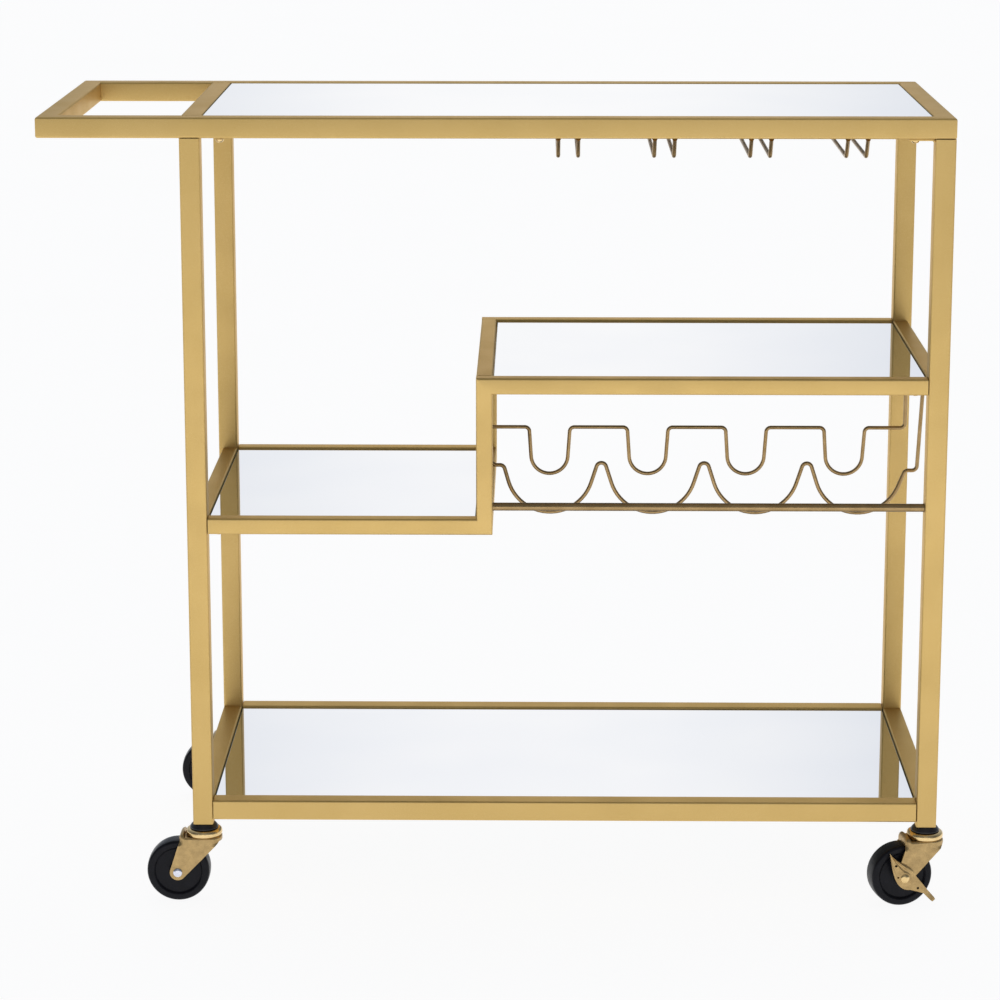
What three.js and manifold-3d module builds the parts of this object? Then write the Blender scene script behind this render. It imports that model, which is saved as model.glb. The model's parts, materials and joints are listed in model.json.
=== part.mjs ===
// A bar cart on wheels: welded square-tube frames, four mirror shelves, a wire rack for
// lying bottles, wire hangers for stemmed glasses, and four swivel casters, two with brakes.
//
// Millimetres, +Z up. X runs along the cart with the push handle at -X, Y runs from the
// front (-Y) to the rear (+Y). The origin is on the floor under the middle of the cart's box.

import * as THREE from "three";
import { mergeVertices } from "three/addons/utils/BufferGeometryUtils.js";
import Module from "manifold-3d";

const wasm = await Module();
wasm.setup();

// ---------------------------------------------------------------- driving dimensions

const HEIGHT = 792;              // floor to the top of the upper frame
const LENGTH = 882;              // upper frame, end to end
const WIDTH = 340;               // upper frame, front to rear
const CASTER_OVERHANG = 10;      // how far the right casters' heads pass the upper frame
const GAP = 0.3;                 // clearance between pieces that touch
const SEAM = 0.5;                // visible seam where a rail is bolted to a leg

const TUBE = 20;                 // square tube of the legs, the upper and the bottom frame
const SHELF_TUBE = 16;           // square tube of the stepped middle frame
const WALL = 1.2;                // tube wall
const TUBE_CORNER = 1.8;         // outer corner radius of every tube

const HANDLE_REACH = 137.5;      // left end of the upper frame to the left legs' outer face
const LEG_FOOT = 81;             // underside of the legs
const BOTTOM_FRAME_BASE = 86;    // underside of the bottom frame
const LOW_SHELF_BASE = 381;      // underside of the lower middle shelf's rails
const HIGH_SHELF_BASE = 522;     // underside of the upper middle shelf's rails
const STEP_X = -24;              // left face of the post where the middle frame steps up

const GLASS = 5;                 // mirror thickness, upper and bottom shelf
const SHELF_GLASS = 4;           // mirror thickness, middle shelves
const GLASS_CLEARANCE = 0.8;     // mirror edge to rail
const TOP_RECESS = 0.6;          // mirror below its rails: upper frame,
const SHELF_RECESS = 2;          // middle shelves
const BOTTOM_RECESS = 2;         // and bottom frame
const LEDGE = 1.2;               // thickness of the ledge that carries a mirror
const LEDGE_WIDTH = 10;

const SLOT_PITCH = 103.5;        // spacing of the four bottle places
const WIRE = 4;                  // rack wire diameter
const WIRE_BEND = 5;             // usual bend radius on the wire's centreline
const ROD = 8;                   // stop rod diameter

const HANGER_PITCH = 92.7;       // spacing of the four glass hangers
const HANGER_GAUGE = 19.2;       // between the two wires of one hanger
const HANGER_Z = 752;            // centreline of a hanger's level run

const WHEEL_RADIUS = 31.75;      // 2.5 inch wheel
const WHEEL_HALF_WIDTH = 10.5;
const TRAIL = 26;                // swivel axis to wheel axle
const FORK_INSIDE = 13;          // half the width inside the fork
const FORK_PLATE = 2.2;
const FORK_HEAD_LEFT = -24;      // the fork's head from the swivel axis, towards the wheel
const FORK_HEAD_RIGHT = 18.5;    // and away from it
const FORK_HEAD_TOP = 68.2;
const FORK_BEND = 4;             // outer bend from the head to the side plates
const FORK_EYE = 8;              // radius of a side plate's round end at the axle
const AXLE_RADIUS = 3;
const PIN_RADIUS = 5;            // king pin through the fork's head
const CAP_BASE = 68.6;           // bearing cap on top of the fork's head
const CAP_TOP = 75;
const CAP_RADIUS = 18;
const STEM_RADIUS = 4;           // stem up into the leg
const STEM_TOP = 98;
const BRAKE_PLATE = 1.6;

// ---------------------------------------------------------------- places that follow

const RIGHT_END = LENGTH / 2 - CASTER_OVERHANG / 2;
const LEFT_END = RIGHT_END - LENGTH;
const FRONT = -WIDTH / 2;
const REAR = WIDTH / 2;
const TOP_BASE = HEIGHT - TUBE;
const LEG_LEFT = LEFT_END + HANDLE_REACH;        // left legs' outer face
const LEG_RIGHT = RIGHT_END - TUBE;              // right legs' inner face
const INNER_LEFT = LEG_LEFT + TUBE;              // left legs' inner face
const BAY_MIDDLE = (STEP_X + SHELF_TUBE + LEG_RIGHT) / 2;
const AXLE_Z = WHEEL_RADIUS;

// ---------------------------------------------------------------- materials

function finish(color, roughness, metalness) {
  return () => new THREE.MeshStandardMaterial({ color, roughness, metalness });
}

const gold = finish(0xcdac69, 0.42, 0.7);
const wireGold = finish(0xa88a55, 0.4, 0.8);
const brass = finish(0xb8924e, 0.35, 0.85);
const mirror = finish(0xeff0f5, 0.04, 1);
const blackPlastic = finish(0x141416, 0.5, 0);
const wheelBlack = finish(0x19191e, 0.3, 0);
const steel = finish(0xc4c8d2, 0.3, 0.9);

const cart = new THREE.Group();

function add(name, geometry, material, parent = cart) {
  const mesh = new THREE.Mesh(geometry, material());
  mesh.name = name;
  parent.add(mesh);
  return mesh;
}

// ---------------------------------------------------------------- solids

function toSolid(geometry) {
  const bare = geometry.clone();
  bare.deleteAttribute("normal");
  bare.deleteAttribute("uv");
  const merged = mergeVertices(bare, 1e-4);
  return new wasm.Manifold(new wasm.Mesh({
    numProp: 3,
    vertProperties: Float32Array.from(merged.attributes.position.array),
    triVerts: Uint32Array.from(merged.index.array),
  }));
}

function toGeometry(solid) {
  const mesh = solid.getMesh();
  const geometry = new THREE.BufferGeometry();
  geometry.setAttribute("position", new THREE.BufferAttribute(mesh.vertProperties, 3));
  geometry.setIndex(new THREE.BufferAttribute(mesh.triVerts, 1));
  geometry.computeVertexNormals();
  return geometry;
}

function box(xs, ys, zs) {
  const geometry = new THREE.BoxGeometry(xs[1] - xs[0], ys[1] - ys[0], zs[1] - zs[0]);
  return geometry.translate((xs[0] + xs[1]) / 2, (ys[0] + ys[1]) / 2, (zs[0] + zs[1]) / 2);
}

// A square with round corners, as points counter-clockwise round (0, 0).
function roundedSquare(halfX, halfY, radius, steps) {
  const points = [];
  for (let corner = 0; corner < 4; corner += 1) {
    const sx = corner === 0 || corner === 3 ? 1 : -1;
    const sy = corner < 2 ? 1 : -1;
    for (let step = 0; step <= steps; step += 1) {
      const angle = (corner + step / steps) * Math.PI / 2;
      points.push(new THREE.Vector2(
        sx * (halfX - radius) + radius * Math.cos(angle),
        sy * (halfY - radius) + radius * Math.sin(angle),
      ));
    }
  }
  return points;
}

// A solid turned about Z from (radius, height) points, counter-clockwise seen from +theta.
function turned(profile, segments) {
  const points = profile.map(([r, z]) => new THREE.Vector2(r, z));
  const lathe = new THREE.LatheGeometry(points, segments);
  return toGeometry(toSolid(lathe.rotateX(Math.PI / 2)));
}

// An outline of (x, z) points, given thickness along Y from y0 to y1.
function plateXZ(points, y0, y1, holes = []) {
  const shape = new THREE.Shape(points.map(([x, z]) => new THREE.Vector2(x, z)));
  for (const [x, z, radius] of holes) {
    shape.holes.push(new THREE.Path().absarc(x, z, radius, 0, 2 * Math.PI, true));
  }
  const plate = new THREE.ExtrudeGeometry(shape, {
    depth: y1 - y0, bevelEnabled: false, curveSegments: 6,
  });
  return plate.rotateX(Math.PI / 2).translate(0, y1, 0);
}

// ---------------------------------------------------------------- square tubes

const ALONG = {
  x: [new THREE.Vector3(0, 1, 0), new THREE.Vector3(0, 0, 1), new THREE.Vector3(1, 0, 0)],
  y: [new THREE.Vector3(0, 0, 1), new THREE.Vector3(1, 0, 0), new THREE.Vector3(0, 1, 0)],
  z: [new THREE.Vector3(1, 0, 0), new THREE.Vector3(0, 1, 0), new THREE.Vector3(0, 0, 1)],
};

// A hollow tube with open ends. from is the middle of its start, on the long side of any
// mitre. A mitre is the direction from the corner's outside to its inside, or null for a
// square end; the tube is shorter on that side by its own width.
function tube(name, axis, from, length, size, startMitre = null, endMitre = null) {
  const [u, v, w] = ALONG[axis];
  const half = size / 2;
  const shape = new THREE.Shape(roundedSquare(half, half, TUBE_CORNER, 2));
  const inner = half - WALL;
  shape.holes.push(new THREE.Path([
    new THREE.Vector2(-inner, -inner),
    new THREE.Vector2(-inner, inner),
    new THREE.Vector2(inner, inner),
    new THREE.Vector2(inner, -inner),
  ]));
  const geometry = new THREE.ExtrudeGeometry(shape, { depth: length, bevelEnabled: false });
  const place = geometry.attributes.position;
  for (let i = 0; i < place.count; i += 1) {
    const atEnd = place.getZ(i) > length / 2;
    const mitre = atEnd ? endMitre : startMitre;
    if (mitre) {
      const inward = place.getX(i) * mitre.dot(u) + place.getY(i) * mitre.dot(v);
      const cut = half + inward;
      place.setZ(i, atEnd ? length - cut : cut);
    }
  }
  geometry.computeVertexNormals();
  const mesh = add(name, geometry, gold);
  mesh.position.set(...from);
  mesh.quaternion.setFromRotationMatrix(new THREE.Matrix4().makeBasis(u, v, w));
  return mesh;
}

const PLUS_X = new THREE.Vector3(1, 0, 0);
const MINUS_X = new THREE.Vector3(-1, 0, 0);
const PLUS_Y = new THREE.Vector3(0, 1, 0);
const MINUS_Y = new THREE.Vector3(0, -1, 0);
const PLUS_Z = new THREE.Vector3(0, 0, 1);
const MINUS_Z = new THREE.Vector3(0, 0, -1);

// ---------------------------------------------------------------- frames

function makeLegs() {
  const length = TOP_BASE - GAP - LEG_FOOT;
  for (const [side, x] of [["left", LEG_LEFT + TUBE / 2], ["right", LEG_RIGHT + TUBE / 2]]) {
    for (const [end, y] of [["front", FRONT + TUBE / 2], ["rear", REAR - TUBE / 2]]) {
      tube(`leg_${end}_${side}`, "z", [x, y, LEG_FOOT], length, TUBE);
    }
  }
}

// The upper frame: four tubes mitred into one long rectangle, and a cross bar over the
// left legs that leaves the open push handle at the left end.
function makeTopFrame() {
  const z = TOP_BASE + TUBE / 2;
  const half = TUBE / 2;
  tube("top_front_rail", "x", [LEFT_END, FRONT + half, z], LENGTH, TUBE, PLUS_Y, PLUS_Y);
  tube("top_rear_rail", "x", [LEFT_END, REAR - half, z], LENGTH, TUBE, MINUS_Y, MINUS_Y);
  tube("handle_bar", "y", [LEFT_END + half, FRONT, z], WIDTH, TUBE, PLUS_X, PLUS_X);
  tube("top_right_bar", "y", [RIGHT_END - half, FRONT, z], WIDTH, TUBE, MINUS_X, MINUS_X);
  const inside = WIDTH - 2 * TUBE;
  tube("top_cross_bar", "y", [LEG_LEFT + half, FRONT + TUBE, z], inside, TUBE);
}

// The middle frame steps up at a short post, front and rear alike.
function makeMiddleFrame() {
  const half = SHELF_TUBE / 2;
  const lowZ = LOW_SHELF_BASE + half;
  const highZ = HIGH_SHELF_BASE + half;
  const stepEnd = STEP_X + SHELF_TUBE;
  const lowStart = INNER_LEFT + SEAM;
  const highEnd = LEG_RIGHT - SEAM;
  const postHeight = HIGH_SHELF_BASE + SHELF_TUBE - LOW_SHELF_BASE;
  for (const [end, y] of [["front", FRONT + half], ["rear", REAR - half]]) {
    const lowLength = stepEnd - lowStart;
    tube(`lower_shelf_${end}_rail`, "x", [lowStart, y, lowZ], lowLength, SHELF_TUBE, null, PLUS_Z);
    const foot = [STEP_X + half, y, LOW_SHELF_BASE];
    tube(`step_post_${end}`, "z", foot, postHeight, SHELF_TUBE, MINUS_X, PLUS_X);
    const highLength = highEnd - STEP_X;
    tube(`upper_shelf_${end}_rail`, "x", [STEP_X, y, highZ], highLength, SHELF_TUBE, MINUS_Z, null);
  }
  const between = WIDTH - 2 * SHELF_TUBE;
  const crossX = STEP_X + half;
  tube("lower_shelf_cross_bar", "y", [crossX, FRONT + SHELF_TUBE, lowZ], between, SHELF_TUBE);
  tube("upper_shelf_cross_bar", "y", [crossX, FRONT + SHELF_TUBE, highZ], between, SHELF_TUBE);
  const legSpan = WIDTH - 2 * TUBE;
  tube("lower_shelf_left_rail", "y", [INNER_LEFT - half, FRONT + TUBE, lowZ], legSpan, SHELF_TUBE);
  tube("upper_shelf_right_rail", "y", [LEG_RIGHT + half, FRONT + TUBE, highZ], legSpan, SHELF_TUBE);
}

function makeBottomFrame() {
  const z = BOTTOM_FRAME_BASE + TUBE / 2;
  const half = TUBE / 2;
  const length = LEG_RIGHT - INNER_LEFT - 2 * SEAM;
  tube("bottom_front_rail", "x", [INNER_LEFT + SEAM, FRONT + half, z], length, TUBE);
  tube("bottom_rear_rail", "x", [INNER_LEFT + SEAM, REAR - half, z], length, TUBE);
  const legSpan = WIDTH - 2 * TUBE;
  tube("bottom_left_rail", "y", [LEG_LEFT + half, FRONT + TUBE, z], legSpan, TUBE);
  tube("bottom_right_rail", "y", [LEG_RIGHT + half, FRONT + TUBE, z], legSpan, TUBE);
}

// ---------------------------------------------------------------- mirror shelves

// A mirror lying on a thin ledge ring inside its frame; xs and halfY are the frame's inside.
function makeShelf(name, xs, halfY, glassTop, glass) {
  const bottom = glassTop - glass;
  const edge = GLASS_CLEARANCE;
  const glassBox = box(
    [xs[0] + edge, xs[1] - edge],
    [-halfY + edge, halfY - edge],
    [bottom, glassTop],
  );
  add(`${name}_mirror`, glassBox, mirror);

  const ledgeTop = bottom - GAP;
  const outer = new THREE.Shape();
  outer.moveTo(xs[0] + GAP, -halfY + GAP);
  outer.lineTo(xs[1] - GAP, -halfY + GAP);
  outer.lineTo(xs[1] - GAP, halfY - GAP);
  outer.lineTo(xs[0] + GAP, halfY - GAP);
  const hole = new THREE.Path();
  hole.moveTo(xs[0] + LEDGE_WIDTH, -halfY + LEDGE_WIDTH);
  hole.lineTo(xs[0] + LEDGE_WIDTH, halfY - LEDGE_WIDTH);
  hole.lineTo(xs[1] - LEDGE_WIDTH, halfY - LEDGE_WIDTH);
  hole.lineTo(xs[1] - LEDGE_WIDTH, -halfY + LEDGE_WIDTH);
  outer.holes.push(hole);
  const ring = new THREE.ExtrudeGeometry(outer, { depth: LEDGE, bevelEnabled: false });
  add(`${name}_ledge`, ring.translate(0, 0, ledgeTop - LEDGE), gold);
}

function makeShelves() {
  const stepEnd = STEP_X + SHELF_TUBE;
  const tubeInside = WIDTH / 2 - TUBE;
  const shelfInside = WIDTH / 2 - SHELF_TUBE;
  const lowTop = LOW_SHELF_BASE + SHELF_TUBE - SHELF_RECESS;
  const highTop = HIGH_SHELF_BASE + SHELF_TUBE - SHELF_RECESS;
  const bottomTop = BOTTOM_FRAME_BASE + TUBE - BOTTOM_RECESS;
  makeShelf("top_shelf", [INNER_LEFT, LEG_RIGHT], tubeInside, HEIGHT - TOP_RECESS, GLASS);
  makeShelf("upper_shelf", [stepEnd, LEG_RIGHT], shelfInside, highTop, SHELF_GLASS);
  makeShelf("lower_shelf", [INNER_LEFT, STEP_X], shelfInside, lowTop, SHELF_GLASS);
  makeShelf("bottom_shelf", [INNER_LEFT, LEG_RIGHT], tubeInside, bottomTop, GLASS);
}

// ---------------------------------------------------------------- bent wire

// A path whose sweep stations are its own points, so bends get the points they need.
class StationPath extends THREE.Curve {
  constructor(points) {
    super();
    this.points = points;
  }

  getPoint(t) {
    const index = Math.round(t * (this.points.length - 1));
    return this.points[index].clone();
  }

  getPointAt(u) {
    return this.getPoint(u);
  }

  getTangentAt(u) {
    const last = this.points.length - 1;
    const index = Math.round(u * last);
    const before = this.points[Math.max(index - 1, 0)];
    const here = this.points[index];
    const after = this.points[Math.min(index + 1, last)];
    const tangent = new THREE.Vector3();
    if (index > 0) tangent.add(here.clone().sub(before).normalize());
    if (index < last) tangent.add(after.clone().sub(here).normalize());
    return tangent.normalize();
  }
}

function sweptWire(points, diameter, sides) {
  const section = new THREE.Shape();
  for (let i = 0; i < sides; i += 1) {
    const angle = 2 * Math.PI * i / sides;
    const x = diameter / 2 * Math.cos(angle);
    const y = diameter / 2 * Math.sin(angle);
    if (i === 0) section.moveTo(x, y);
    else section.lineTo(x, y);
  }
  return new THREE.ExtrudeGeometry(section, {
    steps: points.length - 1,
    bevelEnabled: false,
    extrudePath: new StationPath(points),
  });
}

// A path in a plane that runs like a belt past a row of stops [x, z, radius]. It passes over
// a stop with a positive radius, under one with a negative radius, and through one with none.
function beltPath(stops, stepAngle) {
  const headings = [];
  for (let i = 0; i < stops.length - 1; i += 1) {
    const [x1, z1, r1] = stops[i];
    const [x2, z2, r2] = stops[i + 1];
    const reach = Math.hypot(x2 - x1, z2 - z1);
    headings.push(Math.atan2(z2 - z1, x2 - x1) - Math.asin((r1 - r2) / reach));
  }
  const points = [];
  stops.forEach(([x, z, radius], i) => {
    const arriving = headings[Math.max(i - 1, 0)];
    const leaving = headings[Math.min(i, headings.length - 1)];
    const steps = radius === 0 ? 0 : Math.max(2, Math.ceil(Math.abs(leaving - arriving) / stepAngle));
    for (let step = 0; step <= steps; step += 1) {
      const share = steps === 0 ? 0 : step / steps;
      const angle = arriving + (leaving - arriving) * share + Math.PI / 2;
      points.push([x + radius * Math.cos(angle), z + radius * Math.sin(angle)]);
    }
  });
  return points;
}

const slotCentres = [-1.5, -0.5, 0.5, 1.5].map((n) => BAY_MIDDLE + n * SLOT_PITCH);

// Both rack wires hang from the side rail and the cross bar of the upper middle shelf.
function makeBottleRack() {
  const wireTop = HIGH_SHELF_BASE - GAP;
  const leftRiser = STEP_X + 9;
  const rightRiser = LEG_RIGHT + 7;
  const stepAngle = Math.PI / 7;

  const cradleY = -75;
  const cradleRadius = 43.5;
  const cradleBottom = 381.5;
  const cradlePeak = 432.5;
  const leftFlat = 430;
  const rightFlat = 425.5;
  const shoulder = cradleRadius + WIRE_BEND + 2;
  const cradle = [
    [leftRiser, wireTop, 0],
    [leftRiser + 9.5, leftFlat + WIRE_BEND, -WIRE_BEND],
    [slotCentres[0] - shoulder, leftFlat - WIRE_BEND, WIRE_BEND],
  ];
  slotCentres.forEach((x, i) => {
    if (i > 0) cradle.push([x - SLOT_PITCH / 2, cradlePeak - WIRE_BEND, WIRE_BEND]);
    cradle.push([x, cradleBottom + cradleRadius, -cradleRadius]);
  });
  cradle.push(
    [slotCentres[3] + shoulder, rightFlat - WIRE_BEND, WIRE_BEND],
    [rightRiser - 9.5, rightFlat + WIRE_BEND, -WIRE_BEND],
    [rightRiser, wireTop, 0],
  );
  const cradlePoints = beltPath(cradle, stepAngle);
  const inPlane = (y) => ([x, z]) => new THREE.Vector3(x, y, z);
  add("bottle_cradle_wire", sweptWire(cradlePoints.map(inPlane(cradleY)), WIRE, 6), wireGold);

  const neckY = 75;
  const neckRadius = 19.4;
  const neckBottom = 386.3;
  const neckFlat = 436.4;
  const neckShoulder = 26.2;
  const neck = [
    [leftRiser, wireTop, 0],
    [leftRiser + WIRE_BEND, neckFlat + WIRE_BEND, -WIRE_BEND],
  ];
  for (const x of slotCentres) {
    neck.push(
      [x - neckShoulder, neckFlat - WIRE_BEND, WIRE_BEND],
      [x, neckBottom + neckRadius, -neckRadius],
      [x + neckShoulder, neckFlat - WIRE_BEND, WIRE_BEND],
    );
  }
  neck.push(
    [rightRiser - WIRE_BEND, neckFlat + WIRE_BEND, -WIRE_BEND],
    [rightRiser, wireTop, 0],
  );
  const neckPoints = beltPath(neck, stepAngle);
  add("bottle_neck_wire", sweptWire(neckPoints.map(inPlane(neckY)), WIRE, 6), wireGold);

  const rodY = FRONT + 10;
  const rodZ = 407.7;
  const rodEnds = [STEP_X + SHELF_TUBE + GAP, LEG_RIGHT - GAP];
  const rod = sweptWire(rodEnds.map((x) => new THREE.Vector3(x, rodY, rodZ)), ROD, 16);
  add("bottle_stop_rod", rod, wireGold);
}

// A polyline with each inner corner replaced by a short curve that starts a bend length away.
function roundCorners(corners, bend, steps) {
  const points = [corners[0]];
  for (let i = 1; i < corners.length - 1; i += 1) {
    const corner = corners[i];
    const back = corners[i - 1].clone().sub(corner).setLength(bend);
    const ahead = corners[i + 1].clone().sub(corner).setLength(bend);
    const curve = new THREE.QuadraticBezierCurve3(
      corner.clone().add(back), corner, corner.clone().add(ahead),
    );
    points.push(...curve.getPoints(steps));
  }
  points.push(corners[corners.length - 1]);
  return points;
}

// Each hanger is one wire: two level runs a stem's width apart, both rising to the front
// rail, and joined across the underside of the rear rail.
function makeGlassHangers() {
  const tipY = FRONT + 13;
  const bendY = FRONT + 27;
  const tipZ = TOP_BASE - 1.7;
  const crossZ = TOP_BASE - WIRE / 2 - GAP;
  for (let n = 0; n < 4; n += 1) {
    const middle = BAY_MIDDLE + (n - 1.5) * HANGER_PITCH;
    const near = middle - HANGER_GAUGE / 2;
    const far = middle + HANGER_GAUGE / 2;
    const corners = [
      new THREE.Vector3(near, tipY, tipZ),
      new THREE.Vector3(near, bendY, HANGER_Z),
      new THREE.Vector3(near, -bendY, HANGER_Z),
      new THREE.Vector3(near, -tipY, crossZ),
      new THREE.Vector3(far, -tipY, crossZ),
      new THREE.Vector3(far, -bendY, HANGER_Z),
      new THREE.Vector3(far, bendY, HANGER_Z),
      new THREE.Vector3(far, tipY, tipZ),
    ];
    add(`glass_hanger_${n + 1}`, sweptWire(roundCorners(corners, 4, 2), WIRE, 6), wireGold);
  }
}

// ---------------------------------------------------------------- casters

// A plain cylinder along Z or Y, for holes.
function drill(radius, length, axis, x, z) {
  const geometry = new THREE.CylinderGeometry(radius, radius, length, 16);
  if (axis === "z") geometry.rotateX(Math.PI / 2);
  return toSolid(geometry.translate(x, 0, z));
}

// The black insert that closes the foot of a leg and takes the caster's stem: a flared
// collar under the leg and a square plug inside its tube.
function insertGeometry() {
  const base = CAP_TOP + GAP;
  const top = LEG_FOOT - GAP;
  const collar = toSolid(turned([[0, base], [14, base], [10.6, top], [0, top]], 20));
  const plugHalf = TUBE / 2 - WALL - 0.5;
  const plug = toSolid(box([-plugHalf, plugHalf], [-plugHalf, plugHalf], [LEG_FOOT - 2, 100]));
  const bore = drill(STEM_RADIUS + 0.4, 60, "z", 0, 90);
  return toGeometry(collar.add(plug).subtract(bore));
}

// The caster's fixed stem: a rivet head under the fork, the king pin through the fork's head,
// the domed bearing cap on top of it, and the stem up into the leg.
function stemGeometry() {
  return turned([
    [0, 62.9], [8, 63.2], [8, 65.2], [PIN_RADIUS, 65.2], [PIN_RADIUS, CAP_BASE],
    [CAP_RADIUS - 1.4, CAP_BASE], [CAP_RADIUS, 70.6], [CAP_RADIUS - 0.6, 73.4],
    [CAP_RADIUS - 4, CAP_TOP], [STEM_RADIUS, CAP_TOP], [STEM_RADIUS, STEM_TOP], [0, STEM_TOP],
  ], 20);
}

// The outline of a U open downwards, from half its width, its top, its foot and its corners.
function channelOutline(half, top, foot, radius) {
  const steps = 4;
  const points = [[-half, foot]];
  for (const [side, start] of [[-1, Math.PI], [1, Math.PI / 2]]) {
    for (let step = 0; step <= steps; step += 1) {
      const angle = start - step / steps * Math.PI / 2;
      points.push([
        side * (half - radius) + radius * Math.cos(angle),
        top - radius + radius * Math.sin(angle),
      ]);
    }
  }
  points.push([half, foot]);
  return points;
}

// The stamped fork: a U of plate whose sides taper down to round ends at the axle.
function forkGeometry() {
  const outside = FORK_INSIDE + FORK_PLATE;
  const reach = 50;
  const skirtFoot = 64;
  const alongX = (points) => toSolid(plateXZ(points, -reach, reach).rotateZ(Math.PI / 2));
  const outer = alongX(channelOutline(outside, FORK_HEAD_TOP, 0, FORK_BEND));
  const innerTop = FORK_HEAD_TOP - FORK_PLATE;
  const inner = alongX(channelOutline(FORK_INSIDE, innerTop, -1, FORK_BEND - FORK_PLATE));

  const side = beltPath([
    [FORK_HEAD_LEFT, skirtFoot, 0],
    [-TRAIL, AXLE_Z, -FORK_EYE],
    [FORK_HEAD_RIGHT - 3, skirtFoot, 0],
  ], Math.PI / 8);
  side.push(
    [FORK_HEAD_RIGHT, skirtFoot + 2],
    [FORK_HEAD_RIGHT, FORK_HEAD_TOP + 1],
    [FORK_HEAD_LEFT, FORK_HEAD_TOP + 1],
  );
  const silhouette = toSolid(plateXZ(side, -reach, reach));

  const middle = (FORK_HEAD_RIGHT + FORK_HEAD_LEFT) / 2;
  const halfLength = (FORK_HEAD_RIGHT - FORK_HEAD_LEFT) / 2;
  const headShape = new THREE.Shape(roundedSquare(halfLength, outside, 9, 3));
  const headPrism = new THREE.ExtrudeGeometry(headShape, { depth: 30, bevelEnabled: false });
  const skirtTop = skirtFoot - 4;
  const head = toSolid(headPrism.translate(middle, 0, skirtTop));
  const below = toSolid(box([-reach, reach], [-reach, reach], [0, skirtTop]));

  return toGeometry(outer.subtract(inner).intersect(silhouette).intersect(head.add(below))
    .subtract(drill(AXLE_RADIUS + 0.4, 60, "y", -TRAIL, AXLE_Z))
    .subtract(drill(PIN_RADIUS + 0.6, 20, "z", 0, FORK_HEAD_TOP)));
}

// Turned about the axle (Y), from (radius, y) points.
function turnedOnAxle(profile, segments) {
  const points = profile.map(([r, y]) => new THREE.Vector2(r, y));
  return toGeometry(toSolid(new THREE.LatheGeometry(points, segments)));
}

// The axle rivet. A braked caster's rivet also holds the brake lever, on the -Y side.
function axleGeometry(braked) {
  const side = FORK_INSIDE + FORK_PLATE + GAP;
  const near = -side - (braked ? BRAKE_PLATE + GAP : 0);
  const head = 4.6;
  return turnedOnAxle([
    [0, near - 2], [3, near - 1.5], [head, near], [AXLE_RADIUS, near],
    [AXLE_RADIUS, side], [head, side], [3, side + 1.5], [0, side + 2],
  ], 16);
}

// The wheel: a hub, a recessed web and a thick rim, alike on both faces.
function wheelGeometry() {
  const w = WHEEL_HALF_WIDTH;
  const r = WHEEL_RADIUS;
  const half = [
    [3.5, w + 1], [8.5, w + 1], [9.5, w - 2.5], [23, w - 2.5], [24.5, w], [r - 2, w], [r, w - 2],
  ];
  const lower = half.map(([x, y]) => [x, -y]);
  const upper = half.slice().reverse();
  return turnedOnAxle([...lower, ...upper, lower[0]], 32);
}

// The leaf-shaped brake lever: it turns on the axle outside the fork, and its lower end is
// bent outward into a foot tab.
function brakeLeverGeometry() {
  const outline = new THREE.Shape();
  outline.moveTo(-16, 27);
  outline.bezierCurveTo(-13.5, 12, -11.5, -13, 6, -12.6);
  outline.lineTo(20, -17);
  outline.lineTo(24, -13.5);
  outline.lineTo(12, 1.5);
  outline.bezierCurveTo(8, 14, -7, 14, -16, 27);
  const holes = [[-9.3, 13.6, 1.3], [14.2, -11.4, 1.3], [0, 0, 3.4]];
  const points = outline.getPoints(6).slice(0, -1).map((p) => [p.x, p.y]);
  const near = -(FORK_INSIDE + FORK_PLATE + GAP + BRAKE_PLATE);
  const leaf = toSolid(plateXZ(points, near, near + BRAKE_PLATE, holes));

  const tabLength = 13;
  const tab = new THREE.BoxGeometry(tabLength, BRAKE_PLATE, 5.4);
  tab.translate(tabLength / 2 - 1, BRAKE_PLATE / 2, 0);
  tab.rotateZ(-0.45);
  tab.rotateY(0.84);
  tab.translate(21, near, -14.4);
  return toGeometry(leaf.add(toSolid(tab)));
}

const CASTERS = [
  { tag: "front_left", x: LEG_LEFT + TUBE / 2, y: FRONT + TUBE / 2, rest: 0, braked: false },
  { tag: "front_right", x: LEG_RIGHT + TUBE / 2, y: FRONT + TUBE / 2, rest: 13, braked: true },
  { tag: "rear_left", x: LEG_LEFT + TUBE / 2, y: REAR - TUBE / 2, rest: 0, braked: false },
  { tag: "rear_right", x: LEG_RIGHT + TUBE / 2, y: REAR - TUBE / 2, rest: -13, braked: true },
];

// rest is the angle in degrees at which the fork stands turned about its stem.
function makeCaster({ tag, x, y, rest, braked }) {
  const fixed = new THREE.Group();
  fixed.position.set(x, y, 0);
  cart.add(fixed);
  add(`leg_insert_${tag}`, insertGeometry(), blackPlastic, fixed);
  add(`caster_stem_${tag}`, stemGeometry(), brass, fixed);

  const swivel = new THREE.Group();
  swivel.rotation.z = THREE.MathUtils.degToRad(rest);
  fixed.add(swivel);
  add(`caster_fork_${tag}`, forkGeometry(), brass, swivel);
  const axlePlace = [-TRAIL, 0, AXLE_Z];
  add(`caster_axle_${tag}`, axleGeometry(braked), steel, swivel).position.set(...axlePlace);
  add(`caster_wheel_${tag}`, wheelGeometry(), wheelBlack, swivel).position.set(...axlePlace);
  if (braked) {
    add(`brake_lever_${tag}`, brakeLeverGeometry(), brass, swivel).position.set(...axlePlace);
  }
}

// ---------------------------------------------------------------- assembly

makeLegs();
makeTopFrame();
makeMiddleFrame();
makeBottomFrame();
makeShelves();
makeBottleRack();
makeGlassHangers();
CASTERS.forEach(makeCaster);

export default cart;
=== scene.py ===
"""The looks of the bar cart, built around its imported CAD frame.

Metres, in the CAD frame: +X is the cart's right, the push handle is at -X, and -Y is the front.
Shapes are written in millimetres and scaled as they are placed.
"""

import json
import math

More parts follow.
